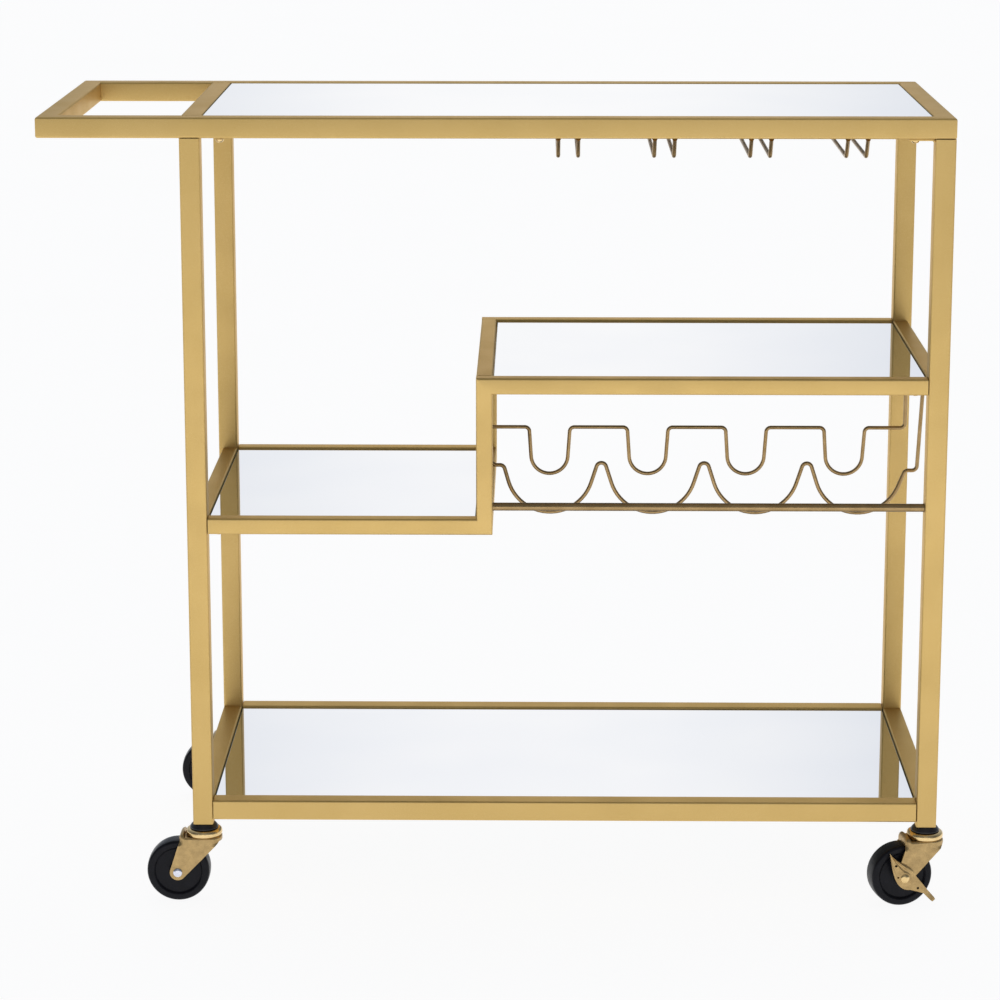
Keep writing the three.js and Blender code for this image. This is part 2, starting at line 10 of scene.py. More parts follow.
import bmesh
import bpy
from mathutils import Matrix, Vector


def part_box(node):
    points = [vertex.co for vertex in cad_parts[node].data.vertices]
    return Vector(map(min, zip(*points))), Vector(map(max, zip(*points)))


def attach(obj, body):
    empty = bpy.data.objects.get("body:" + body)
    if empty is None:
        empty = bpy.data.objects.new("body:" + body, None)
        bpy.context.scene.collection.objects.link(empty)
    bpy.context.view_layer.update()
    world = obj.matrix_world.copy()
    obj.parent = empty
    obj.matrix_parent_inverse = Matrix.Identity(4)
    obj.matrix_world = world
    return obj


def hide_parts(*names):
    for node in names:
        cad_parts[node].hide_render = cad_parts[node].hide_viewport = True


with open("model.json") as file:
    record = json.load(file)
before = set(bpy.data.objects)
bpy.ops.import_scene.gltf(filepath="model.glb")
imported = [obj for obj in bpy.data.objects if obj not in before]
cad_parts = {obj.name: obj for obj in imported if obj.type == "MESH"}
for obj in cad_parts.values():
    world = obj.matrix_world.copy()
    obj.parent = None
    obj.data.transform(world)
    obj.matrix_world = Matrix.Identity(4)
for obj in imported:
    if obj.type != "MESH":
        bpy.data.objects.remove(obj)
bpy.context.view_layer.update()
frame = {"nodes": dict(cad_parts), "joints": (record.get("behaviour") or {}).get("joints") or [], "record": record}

MM = 0.001
SHARP_ANGLE = math.radians(38)
JOINTS = {joint["name"]: joint for joint in frame["joints"]}
CASTERS = ("front_left", "front_right", "rear_left", "rear_right")
BRAKED = ("front_right", "rear_right")
SHELVES = ("top_shelf", "upper_shelf", "lower_shelf", "bottom_shelf")

# ---------------------------------------------------------------- caster sizes, in mm

WHEEL_RADIUS = 31.75
TRAIL = 26.0
FORK_OUTSIDE = 15.2
FORK_PLATE = 2.2
HEAD_TOP = 68.2
HEAD_LEFT = -24.4
HEAD_RIGHT = 18.0
HEAD_LEFT_CORNER = 7.0
HEAD_RIGHT_CORNER = 13.0
HEAD_BEND = 2.4
HEAD_HUMP = 4.2
SKIRT_BOTTOM = 63.4
EYE_RADIUS = 8.0
LEAF_PLATE = 1.6
BOSS_HEIGHT = 1.3
CLEARANCE = 0.3

# The dome of the fork head over the wheel: where it starts, its crest, and how fast it falls.
HUMP_START = -18.7
HUMP_RISE = 1.1
HUMP_CREST = -19.8
HUMP_FALL = 4.7
HUMP_HALF_WIDTH = 15.5

# Where the fork plate's two edges leave the skirt, and how soon it gets straight and flat below.
PLATE_LEFT_TOP = (-24.0, 64.0)
PLATE_RIGHT_TOP = (16.4, 64.0)
STRAIGHT_RUN = 2.5
FLAT_RUN = 4.5

# The holes through the brake lever: x and z from the axle, and radius.
LEAF_HOLES = ((-9.3, 13.6, 1.3), (14.2, -11.4, 1.3), (-7.0, 1.4, 1.0))

# ---------------------------------------------------------------- wire sizes, in mm

WIRE_BEND = 5.0
HANGER_RADIUS = 2.0


# ---------------------------------------------------------------- materials


def rgb(red, green, blue):
    """A colour given as 0 to 255 screen values, as the linear RGBA that the shader takes."""

    def linear(value):
        share = value / 255
        return share / 12.92 if share <= 0.04045 else ((share + 0.055) / 1.055) ** 2.4

    return (linear(red), linear(green), linear(blue), 1.0)


class Finish:
    """A Principled material whose variation comes from noise fixed to the object."""

    def __init__(self, name, color, metallic=0.0, roughness=0.5, **sockets):
        self.material = bpy.data.materials.new(name)
        self.material.use_nodes = True
        self.tree = self.material.node_tree
        self.shader = self.tree.nodes["Principled BSDF"]
        self.shader.inputs["Base Color"].default_value = color
        self.shader.inputs["Metallic"].default_value = metallic
        self.shader.inputs["Roughness"].default_value = roughness
        for socket, value in sockets.items():
            self.shader.inputs[socket.replace("_", " ")].default_value = value
        self.place = self.tree.nodes.new("ShaderNodeTexCoord").outputs["Object"]

    def noise(self, size_mm, detail=2.0, stretch=(1, 1, 1)):
        """Noise with features about size_mm across, from 0 to 1."""
        mapping = self.tree.nodes.new("ShaderNodeMapping")
        mapping.inputs["Scale"].default_value = [1 / (size_mm * MM * s) for s in stretch]
        self.tree.links.new(self.place, mapping.inputs["Vector"])
        texture = self.tree.nodes.new("ShaderNodeTexNoise")
        texture.inputs["Scale"].default_value = 1.0
        texture.inputs["Detail"].default_value = detail
        self.tree.links.new(mapping.outputs["Vector"], texture.inputs["Vector"])
        return texture.outputs["Fac"]

    def spread(self, value, low, high, start=0.3, end=0.7):
        """Maps start..end of a value to low..high."""
        node = self.tree.nodes.new("ShaderNodeMapRange")
        for socket, number in (
            ("From Min", start), ("From Max", end), ("To Min", low), ("To Max", high),
        ):
            node.inputs[socket].default_value = number
        self.tree.links.new(value, node.inputs["Value"])
        return node.outputs["Result"]

    def blend(self, factor, first, second):
        """Mixes two colours, each an RGBA value or a node's output."""
        node = self.tree.nodes.new("ShaderNodeMix")
        node.data_type = "RGBA"
        self.tree.links.new(factor, node.inputs[0])
        for socket, color in ((node.inputs[6], first), (node.inputs[7], second)):
            if isinstance(color, tuple):
                socket.default_value = color
            else:
                self.tree.links.new(color, socket)
        return node.outputs[2]

    def vary(self, size_mm, first, second, detail=3.0, stretch=(1, 1, 1)):
        """Drives the colour from one tone to another."""
        share = self.spread(self.noise(size_mm, detail, stretch), 0.0, 1.0)
        color = self.blend(share, first, second)
        self.tree.links.new(color, self.shader.inputs["Base Color"])
        return color

    def fleck(self, color, size_mm, tone, most):
        """Scatters small flecks of a tone over a colour."""
        share = self.spread(self.noise(size_mm, 1.0), 0.0, most, 0.5, 0.72)
        mixed = self.blend(share, color, tone)
        self.tree.links.new(mixed, self.shader.inputs["Base Color"])

    def wear(self, size_mm, low, high, detail=4.0, stretch=(1, 1, 1)):
        """Drives the roughness."""
        rough = self.spread(self.noise(size_mm, detail, stretch), low, high)
        self.tree.links.new(rough, self.shader.inputs["Roughness"])

    def bump(self, size_mm, height_mm, detail=2.0, stretch=(1, 1, 1), strength=1.0):
        """Raises the surface; a second call adds to the first."""
        node = self.tree.nodes.new("ShaderNodeBump")
        node.inputs["Distance"].default_value = height_mm * MM
        node.inputs["Strength"].default_value = strength
        self.tree.links.new(self.noise(size_mm, detail, stretch), node.inputs["Height"])
        normal = self.shader.inputs["Normal"]
        if normal.is_linked:
            self.tree.links.new(normal.links[0].from_socket, node.inputs["Normal"])
        self.tree.links.new(node.outputs["Normal"], normal)


def make_finishes():
    """The procedural material of each surface, by name."""
    made = {}

    gold = Finish("gold_tube", rgb(203, 168, 104), metallic=0.72, roughness=0.42)
    gold.shader.inputs["Specular Tint"].default_value = rgb(246, 226, 190)
    tone = gold.vary(90, rgb(203, 170, 103), rgb(208, 175, 109))
    gold.fleck(tone, 0.7, rgb(226, 200, 144), 0.35)
    gold.wear(40, 0.38, 0.46)
    gold.bump(1.6, 0.012)
    gold.bump(0.5, 0.004)
    made["gold_tube"] = gold.material

    wire = Finish("gold_wire", rgb(128, 106, 72), metallic=0.9, roughness=0.34)
    tone = wire.vary(14, rgb(150, 123, 82), rgb(168, 140, 98))
    wire.fleck(tone, 0.6, rgb(200, 174, 124), 0.3)
    wire.wear(9, 0.28, 0.4)
    wire.bump(1.1, 0.015)
    made["gold_wire"] = wire.material

    brass = Finish("brass_stamped", rgb(174, 148, 103), metallic=0.95, roughness=0.36)
    tone = brass.vary(7, rgb(168, 142, 98), rgb(192, 163, 112), detail=4)
    brass.fleck(tone, 0.8, rgb(138, 112, 72), 0.5)
    brass.wear(5, 0.3, 0.48)
    brass.bump(0.9, 0.02, detail=3)
    brass.bump(6, 0.08)
    made["caster_brass"] = brass.material

    polished = Finish("brass_polished", rgb(222, 192, 136), metallic=1.0, roughness=0.22)
    polished.vary(5, rgb(214, 184, 128), rgb(230, 202, 148))
    polished.wear(3, 0.18, 0.28)
    polished.bump(2.5, 0.01)
    made["polished_brass"] = polished.material

    silver = Finish("mirror_silver", rgb(240, 241, 245), metallic=1.0, roughness=0.01)
    silver.vary(160, rgb(238, 240, 245), rgb(243, 244, 247), detail=1)
    silver.wear(60, 0.006, 0.02)
    made["mirror_glass"] = silver.material

    edge = Finish("mirror_edge", rgb(150, 168, 160), roughness=0.12, IOR=1.52)
    edge.vary(6, rgb(132, 152, 144), rgb(172, 188, 180), stretch=(4, 4, 1))
    edge.wear(1.5, 0.08, 0.22)
    edge.bump(0.8, 0.01, stretch=(6, 6, 1))
    made["mirror_edge"] = edge.material

    backing = Finish("mirror_backing", rgb(96, 104, 108), roughness=0.55)
    backing.vary(40, rgb(90, 98, 102), rgb(104, 112, 116))
    backing.wear(8, 0.48, 0.62)
    backing.bump(1.2, 0.02)
    made["mirror_backing"] = backing.material

    plastic = Finish("black_plastic", rgb(20, 18, 20), roughness=0.34)
    plastic.vary(5, rgb(17, 15, 18), rgb(26, 24, 27))
    plastic.wear(2.5, 0.26, 0.42)
    plastic.bump(0.6, 0.015)
    made["black_plastic"] = plastic.material

    wheel = Finish("wheel_black", rgb(18, 18, 23), roughness=0.34, IOR=1.24)
    tone = wheel.vary(9, rgb(14, 14, 18), rgb(22, 22, 28), detail=5)
    wheel.fleck(tone, 1.4, rgb(40, 40, 48), 0.16)
    wheel.wear(6, 0.3, 0.42)
    wheel.bump(1.5, 0.02, detail=3)
    made["wheel_black"] = wheel.material

    steel = Finish("rivet_steel", rgb(214, 216, 228), metallic=1.0, roughness=0.22)
    steel.vary(2.5, rgb(200, 203, 216), rgb(226, 228, 238))
    steel.wear(1.6, 0.16, 0.3)
    steel.bump(1.2, 0.01)
    made["rivet_steel"] = steel.material
    return made


FINISH = make_finishes()


# ---------------------------------------------------------------- mesh building


def finish_mesh(bm):
    """Outward normals, smooth faces and sharp edges where the surface turns sharply."""
    bmesh.ops.remove_doubles(bm, verts=bm.verts, dist=0.5e-6)
    bmesh.ops.dissolve_degenerate(bm, edges=bm.edges, dist=0.5e-6)
    bmesh.ops.recalc_face_normals(bm, faces=bm.faces)
    for face in bm.faces:
        face.smooth = True
    for edge in bm.edges:
        if len(edge.link_faces) == 2:
            edge.smooth = edge.calc_face_angle(0.0) < SHARP_ANGLE


def new_object(name, points, faces, finishes, place=Matrix.Identity(4)):
    """An object made from points in mm, put in its place in metres."""
    mesh = bpy.data.meshes.new(name)
    mesh.from_pydata([tuple(p) for p in points], [], faces)
    mesh.transform(place @ Matrix.Scale(MM, 4))
    bm = bmesh.new()
    bm.from_mesh(mesh)
    finish_mesh(bm)
    bm.to_mesh(mesh)
    bm.free()
    for finish in finishes:
        mesh.materials.append(FINISH[finish])
    thing = bpy.data.objects.new(name, mesh)
    bpy.context.scene.collection.objects.link(thing)
    return thing


def settle(thing):
    """Applies an object's modifiers and marks its sharp edges again."""
    graph = bpy.context.evaluated_depsgraph_get()
    mesh = bpy.data.meshes.new_from_object(thing.evaluated_get(graph))
    thing.modifiers.clear()
    old = thing.data
    thing.data = mesh
    bpy.data.meshes.remove(old)
    mesh.name = thing.name
    bm = bmesh.new()
    bm.from_mesh(mesh)
    finish_mesh(bm)
    bm.to_mesh(mesh)
    bm.free()
    return thing


def break_edges(thing, width_mm, angle=30, segments=2):
    """Bevels the edges that turn by more than an angle in degrees."""
    edges = thing.modifiers.new("edges", "BEVEL")
    edges.width = width_mm * MM
    edges.segments = segments
    edges.limit_method = "ANGLE"
    edges.angle_limit = math.radians(angle)
    return settle(thing)


def thicken(thing, thickness_mm, offset=-1, even=False):
    """Gives a sheet its thickness: offset -1 grows it inward and 1 outward."""
    shell = thing.modifiers.new("thickness", "SOLIDIFY")
    shell.thickness = thickness_mm * MM
    shell.offset = offset
    shell.use_even_offset = even


def box_mm(node):
    """The low and high corners of a CAD node, in mm."""
    low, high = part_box(node)
    return low / MM, high / MM


def soften(corners, bend, steps=6):
    """A polyline with its inner corners rounded; bend is one length or one for each corner."""
    bends = bend if isinstance(bend, (list, tuple)) else [bend] * len(corners)
    corners = [Vector(c) for c in corners]
    path = [corners[0]]
    for before, corner, after, size in zip(corners, corners[1:], corners[2:], bends[1:]):
        if size == 0:
            path.append(corner)
            continue
        start = corner + (before - corner).normalized() * size
        end = corner + (after - corner).normalized() * size
        for step in range(steps + 1):
            t = step / steps
            path.append(start * (1 - t) ** 2 + corner * 2 * t * (1 - t) + end * t**2)
    path.append(corners[-1])
    return path


def lathe(profile, segments=64):
    """Points and faces of a shape turned about Z, from (radius, height) points."""
    points, rings = [], []
    for radius, height in profile:
        if radius < 1e-6:
            rings.append([len(points)])
            points.append((0, 0, height))
            continue
        rings.append(list(range(len(points), len(points) + segments)))
        for k in range(segments):
            angle = 2 * math.pi * k / segments
            points.append((radius * math.cos(angle), radius * math.sin(angle), height))
    faces = []
    for low, high in zip(rings, rings[1:]):
        for k in range(segments):
            ring = [low[k % len(low)], low[(k + 1) % len(low)]]
            ring += [high[(k + 1) % len(high)], high[k % len(high)]]
            face = list(dict.fromkeys(ring))
            if len(face) > 2:
                faces.append(face)
    return points, faces


def sweep(path, radius, sides=16, flare=0.0):
    """Points and faces of a round wire along a path; flare thickens its welded ends."""
    path = [Vector(p) for p in path]
    tangents = []
    for i in range(len(path)):
        ahead = path[min(i + 1, len(path) - 1)] - path[max(i - 1, 0)]
        tangents.append(ahead.normalized())
    seed = Vector((0, 1, 0)) if abs(tangents[0].y) < 0.9 else Vector((1, 0, 0))
    side = (seed - tangents[0] * seed.dot(tangents[0])).normalized()
    points, faces, rings = [], [], []
    for i, (centre, tangent) in enumerate(zip(path, tangents)):
        side = (side - tangent * side.dot(tangent)).normalized()
        other = tangent.cross(side)
        size = radius + (flare if i in (0, len(path) - 1) else 0)
        rings.append(list(range(len(points), len(points) + sides)))
        for k in range(sides):
            angle = 2 * math.pi * k / sides
            points.append(centre + (side * math.cos(angle) + other * math.sin(angle)) * size)
    for low, high in zip(rings, rings[1:]):
        for k in range(sides):
            n = (k + 1) % sides
            faces.append([low[k], low[n], high[n], high[k]])
    faces += [rings[0][::-1], rings[-1]]
    return points, faces


def rides(thing, body, slot, *nodes):
    """The piece rides on a body and stands for CAD nodes, if any, which it hides; slot is not used."""
    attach(thing, body)
    if nodes:
        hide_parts(*nodes)
    return thing


# ---------------------------------------------------------------- square tubes


def dress_tube(node):
    """Rounds the shading of a CAD tube's corners and leaves its flats flat."""
    thing = frame["nodes"][node]
    for polygon in thing.data.polygons:
        polygon.use_smooth = True
    weld = thing.modifiers.new("weld", "WELD")
    weld.merge_threshold = 1e-6
    split = thing.modifiers.new("split", "EDGE_SPLIT")
    split.split_angle = math.radians(50)
    normals = thing.modifiers.new("normals", "WEIGHTED_NORMAL")
    normals.weight = 100
    normals.keep_sharp = True


def dress_cad_nodes():
    """Every CAD node takes the gold tube finish, and each tube among them has its shading rounded."""
    for name, thing in frame["nodes"].items():
        for slot in thing.material_slots:
            slot.material = FINISH["gold_tube"]
        if name.endswith(("_rail", "_bar")) or name.startswith(("leg_f", "leg_r", "step_")):
            dress_tube(name)


# ---------------------------------------------------------------- mirrors


def make_mirror(shelf):
    """A silvered pane with ground and polished edges and a painted back."""
    low, high = box_mm(f"{shelf}_mirror")
    corners = [(x, y, z) for z in (low.z, high.z) for y in (low.y, high.y) for x in (low.x, high.x)]
    faces = [(0, 2, 3, 1), (4, 5, 7, 6), (0, 1, 5, 4), (2, 6, 7, 3), (0, 4, 6, 2), (1, 3, 7, 5)]
    finishes = ("mirror_glass", "mirror_edge", "mirror_backing")
    pane = new_object(f"{shelf}_pane", corners, faces, finishes)
    break_edges(pane, 0.7, segments=3)
    for polygon in pane.data.polygons:
        up = polygon.normal.z
        polygon.use_smooth = False
        polygon.material_index = 0 if up > 0.99 else 2 if up < -0.99 else 1
    rides(pane, "frame", "mirror_glass", f"{shelf}_mirror")


# ---------------------------------------------------------------- rack wires


def belt(stops, step_angle=math.pi / 30):
    """An (x, z) path past stops (x, z, radius): over a positive radius, under a negative one."""
    headings = []
    for (x1, z1, r1), (x2, z2, r2) in zip(stops, stops[1:]):
        reach = math.hypot(x2 - x1, z2 - z1)
        headings.append(math.atan2(z2 - z1, x2 - x1) - math.asin((r1 - r2) / reach))
    path = []
    for i, (x, z, radius) in enumerate(stops):
        arriving = headings[max(i - 1, 0)]
        leaving = headings[min(i, len(headings) - 1)]
        steps = max(3, math.ceil(abs(leaving - arriving) / step_angle)) if radius else 0
        for step in range(steps + 1):
            share = step / steps if steps else 0
            angle = arriving + (leaving - arriving) * share + math.pi / 2
            path.append((x + radius * math.cos(angle), z + radius * math.sin(angle)))
    return path


def bottle_places():
    """The X of each bottle place, from the record's openings, in mm."""
    openings = frame["record"]["physics"]["openings"]
    bodies = [o["box_m"] for o in openings if o["name"].startswith("bottle_body")]
    return sorted((low[0] + high[0]) / 2 / MM for low, high in bodies)


def weld_ends(path, length=1.2):
    """Adds a point close to each end of a path, where its weld starts."""
    path = [Vector(p) for p in path]
    first = path[0] + (path[1] - path[0]).normalized() * length
    last = path[-1] + (path[-2] - path[-1]).normalized() * length
    return [path[0], first, *path[1:-1], last, path[-1]]


def make_rack_wire(node, stops_between, left_reach, right_reach, left_flat, right_flat):
    """A wire that drops from the left cross bar, passes its stops and rises to the right rail."""
    low, high = box_mm(node)
    radius = (high.y - low.y) / 2
    y = (high.y + low.y) / 2
    left, right = low.x + radius, high.x - radius
    stops = [(left, high.z, 0), (left + left_reach, low.z + left_flat + WIRE_BEND, -WIRE_BEND)]
    stops += stops_between(low.z + radius)
    stops += [(right - right_reach, low.z + right_flat + WIRE_BEND, -WIRE_BEND), (right, high.z, 0)]
    path = weld_ends([(x, y, z) for x, z in belt(stops)])
    thing = new_object(f"{node}_round", *sweep(path, radius, flare=0.8), ("gold_wire",))
    rides(thing, "frame", "gold_wire", node)


def make_bottle_rack():
    """The cradle and neck wires that carry four bottles, and the straight rod that stops them."""
    places = bottle_places()
    half_pitch = (places[1] - places[0]) / 2
    bend = WIRE_BEND

    def cradle(bottom):
        """Four wide hollows with narrow peaks between them."""
        hollow, peak, first_rise, last_rise = 43.5, 51, 48.5, 44
        shoulder = hollow + bend + 2
        stops = [(places[0] - shoulder, bottom + first_rise - bend, bend)]
        for i, x in enumerate(places):
            if i > 0:
                stops.append((x - half_pitch, bottom + peak - bend, bend))
            stops.append((x, bottom + hollow, -hollow))
        return stops + [(places[-1] + shoulder, bottom + last_rise - bend, bend)]

    def neck(bottom):
        """Four deep loops joined by level runs."""
        loop, flat, shoulder = 19.4, 50.1, 26.2
        stops = []
        for x in places:
            stops.append((x - shoulder, bottom + flat - bend, bend))
            stops.append((x, bottom + loop, -loop))
            stops.append((x + shoulder, bottom + flat - bend, bend))
        return stops

    make_rack_wire("bottle_cradle_wire", cradle, 9.5, 9.5, 50.5, 46)
    make_rack_wire("bottle_neck_wire", neck, bend, bend, 52.1, 52.1)

    low, high = box_mm("bottle_stop_rod")
    y, z = (low.y + high.y) / 2, (low.z + high.z) / 2
    path = weld_ends([(low.x, y, z), (high.x, y, z)])
    rod = new_object("stop_rod_round", *sweep(path, (high.z - low.z) / 2, 32, 0.6), ("gold_wire",))
    rides(rod, "frame", "gold_wire", "bottle_stop_rod")


def make_glass_hangers():
    """Each hanger is one bent wire: two level runs joined under the rear rail."""
    rail_low = box_mm("top_front_rail")[0]
    front, under = rail_low.y, rail_low.z
    tip_y, bend_y = front + 13, front + 27
    tip_z, level_z, cross_z = under - 1.7, under - 20, under - 2.3
    for n in range(1, 5):
        node = f"glass_hanger_{n}"
        low, high = box_mm(node)
        near, far = low.x + HANGER_RADIUS, high.x - HANGER_RADIUS
        corners = [
            (near, tip_y, tip_z), (near, bend_y, level_z), (near, -bend_y, level_z),
            (near, -tip_y, cross_z), (far, -tip_y, cross_z), (far, -bend_y, level_z),
            (far, bend_y, level_z), (far, tip_y, tip_z),
        ]
        path = weld_ends(soften(corners, 4, 8), 0.8)
        thing = new_object(f"{node}_round", *sweep(path, HANGER_RADIUS, flare=0.5), ("gold_wire",))
        rides(thing, "frame", "gold_wire", node)


# ---------------------------------------------------------------- screws and tabs


def screw_head(radius=4.0, height=2.6):
    """A pan head with a cross recess, its top along +Z."""
    segments, rows = 48, 14
    slot_half, slot_reach, slot_depth = 0.5, 1.9, 0.9
    points, faces = [], []
    for row in range(rows + 1):
        share = row / rows
        r = radius * min(1.0, share * 1.12)
        for k in range(segments):
            angle = 2 * math.pi * k / segments
            x, y = r * math.cos(angle), r * math.sin(angle)
            z = height * math.sqrt(max(0.0, 1 - (r / radius) ** 2.4)) if share < 0.9 else 0.0
            inside = min(abs(x), abs(y)) < slot_half and max(abs(x), abs(y)) < slot_reach
            points.append((x, y, z - (slot_depth if inside and share < 0.8 else 0)))
    for row in range(rows):
        for k in range(segments):
            n = (k + 1) % segments
            a, b = row * segments, (row + 1) * segments
            faces.append([a + k, b + k, b + n, a + n])
    faces.append(list(range(rows * segments, (rows + 1) * segments))[::-1])
    return points, faces


def under_screw(name, x, y, z, radius, height):
    """A screw head that hangs from a surface at height z."""
    place = Matrix.Translation(Vector((x, y, z)) * MM) @ Matrix.Rotation(math.pi, 4, "X")
    thing = new_object(name, *screw_head(radius, height), ("polished_brass",), place)
    rides(thing, "frame", "gold_tube")


def fixing_tab(name, x, y, z, towards):
    """A folded tab between a leg and the underside of a rail; towards is +1 or -1 along X."""
    length, half_width, thickness, drop = 25, 7, 1.8, 3
    start, end = x, x + towards * length
    outline = soften([(start, z - drop, 0), (start, z, 0), (end, z, 0)], 1.5, 4)
    points, faces = [], []
    for p in outline:
        points += [(p.x, y - half_width, p.y), (p.x, y + half_width, p.y)]
    for i in range(len(outline) - 1):
        faces.append([2 * i, 2 * i + 1, 2 * i + 3, 2 * i + 2])
    thing = new_object(name, points, faces, ("gold_tube",))
    thicken(thing, thickness, offset=towards)
    break_edges(thing, 0.4)
    rides(thing, "frame", "gold_tube")


def make_fixings():
    """Tabs and screws where the upper frame sits on the legs, and screws under the shelves."""
    gap, tab_screw_reach, tab_screw_drop = 0.1, 18.5, 1.9
    shelf_screws = {"left": ("lower_shelf", 10.5), "right": ("upper_shelf", 12)}
    for end in ("front", "rear"):
        for side, towards in (("left", 1), ("right", -1)):
            tag = f"{end}_{side}"
            low, high = box_mm(f"leg_{tag}")
            y = (low.y + high.y) / 2
            face = high.x if towards > 0 else low.x
            under = box_mm(f"top_{end}_rail")[0].z
            fixing_tab(f"top_tab_{tag}", face + towards * gap, y, under - gap, towards)
            x = face + towards * tab_screw_reach
            under_screw(f"top_screw_{tag}", x, y, under - tab_screw_drop, 4.0, 3.2)
            shelf, reach = shelf_screws[side]
            rail_low, rail_high = box_mm(f"{shelf}_{end}_rail")
            rail_y = (rail_low.y + rail_high.y) / 2
            under_screw(f"shelf_screw_{tag}", face + towards * reach, rail_y, rail_low.z, 3.6, 1.6)


# ---------------------------------------------------------------- casters


def caster_place(tag):
    """The caster's own frame: origin on the floor under its stem, X away from the wheel."""
    stem = Vector(JOINTS[f"swivel_{tag}"]["pos_m"])
    axle = Vector(JOINTS[f"roll_{tag}"]["pos_m"])
    ahead = Vector((stem.x - axle.x, stem.y - axle.y, 0)).normalized()
    up = Vector((0, 0, 1))
    turn = Matrix((ahead, up.cross(ahead), up)).transposed().to_4x4()
    return Matrix.Translation((stem.x, stem.y, 0)) @ turn


def about_axle(place):
    """The frame of a part turned about the axle, with its Z along the caster's Y."""
    axle = Matrix.Translation(Vector((-TRAIL, 0, WHEEL_RADIUS)) * MM)
    return place @ axle @ Matrix.Rotation(-math.pi / 2, 4, "X")


def dome(radius, height, base, outward, steps=8):
    """Profile points of a round head that stands on base and bulges outward (+1 or -1)."""
    turns = [math.pi / 2 * step / steps for step in range(steps + 1)]
    return [(radius * math.cos(a), base + outward * height * math.sin(a)) for a in turns]


def smooth_profile(corners, steps=5):
    """A lathe profile from (radius, height, bend) corners."""
    path = soften([(r, z, 0) for r, z, _ in corners], [b for _, _, b in corners], steps)
    return [(p.x, p.y) for p in path]


def make_insert(tag, place):
    """The black insert: a flared collar under the leg and the plug's neck inside it."""
    top = box_mm("leg_front_left")[0].z - CLEARANCE
    profile = smooth_profile([
        (4.6, 75.4, 0), (14.2, 75.4, 0.5), (14.4, 76.4, 0.8), (12.6, 79.2, 1.6),
        (10.6, top, 0.4), (8.2, top, 0.2), (8.2, top + 2, 0.3), (4.6, top + 2, 0), (4.6, 75.4, 0),
    ])
    thing = new_object(f"insert_collar_{tag}", *lathe(profile, 72), ("black_plastic",), place)
    rides(thing, "frame", "black_plastic", f"leg_insert_{tag}")


def make_stem(tag, place):
    """The king pin, its polished bearing cap with a rolled rim, and the stem above it."""
    profile = smooth_profile([
        (0, 62.9, 0), (6.5, 62.9, 2.0), (8, 64.4, 0.8), (8, 65.2, 0.2), (5, 65.2, 0),
        (5, 68.6, 0), (16.8, 68.6, 0.2), (17.9, 69.0, 0.5), (18.4, 71.6, 1.5),
        (17.2, 74.8, 1.8), (13.6, 75.2, 1.0), (4, 75.2, 0), (4, 98, 0.6), (0, 98, 0),
    ])
    thing = new_object(f"bearing_cap_{tag}", *lathe(profile, 96), ("polished_brass",), place)
    rides(thing, "frame", "caster_brass", f"caster_stem_{tag}")


def head_outline(inset):
    """The fork head's outline in plan, drawn in by inset, and where each side plate's run ends."""
    half_y = FORK_OUTSIDE - inset
    left, right = HEAD_LEFT + inset, HEAD_RIGHT - inset
    steps, side_steps, end_steps = 8, 12, 4
    points, marks = [], []
    for corner, (sx, sy) in enumerate(((1, 1), (-1, 1), (-1, -1), (1, -1))):
        radius = (HEAD_RIGHT_CORNER if sx > 0 else HEAD_LEFT_CORNER) - inset
        centre_x = right - radius if sx > 0 else left + radius
        marks.append(len(points) + (3, 6, 2, 5)[corner])
        for step in range(steps + 1):
            angle = (corner + step / steps) * math.pi / 2
            y = sy * (half_y - radius) + radius * math.sin(angle)
            points.append((centre_x + radius * math.cos(angle), y))
        along_x = corner in (0, 2)
        left_x, right_x = left + HEAD_LEFT_CORNER - inset, right - HEAD_RIGHT_CORNER + inset
        start = Vector(points[-1])
        if along_x:
            end = Vector((left_x if corner == 0 else right_x, start.y))
        else:
            end = Vector((start.x, -start.y))
        run = side_steps if along_x else end_steps
        points += [tuple(start.lerp(end, step / run)) for step in range(1, run)]
    return points, marks


def step_up(value, start, end):
    """A smooth rise from 0 at start to 1 at end."""
    share = max(0.0, min(1.0, (value - start) / (end - start)))
    return share * share * (3 - 2 * share)


def hump(x, y):
    """How far the fork head rises beside the bearing cap, as a dome over the wheel."""
    rise = max(0.0, min(1.0, (HUMP_START - x) / HUMP_RISE))
    fall = max(0.0, 1 - (max(0.0, HUMP_CREST - x) / HUMP_FALL) ** 2)
    crown = max(0.0, 1 - (y / HUMP_HALF_WIDTH) ** 2)
    return HEAD_HUMP * rise * math.sqrt(fall) * math.sqrt(crown)


def tangent_side(top, outward):
    """The fork plate's edge at a height, from a point on the head down round the eye."""
    eye = Vector((-TRAIL, WHEEL_RADIUS))
    reach = Vector(top) - eye
    swing = outward * math.acos(EYE_RADIUS / reach.length)
    touch_angle = math.atan2(reach.y, reach.x) + swing
    touch = eye + Vector((math.cos(touch_angle), math.sin(touch_angle))) * EYE_RADIUS

    def edge(z):
        if z >= touch.y:
            share = (z - touch.y) / (top[1] - touch.y)
            return touch.x + (top[0] - touch.x) * share
        lift = max(-1.0, min(1.0, (z - eye.y) / EYE_RADIUS))
        return eye.x - outward * EYE_RADIUS * math.sqrt(1 - lift * lift)

    return edge


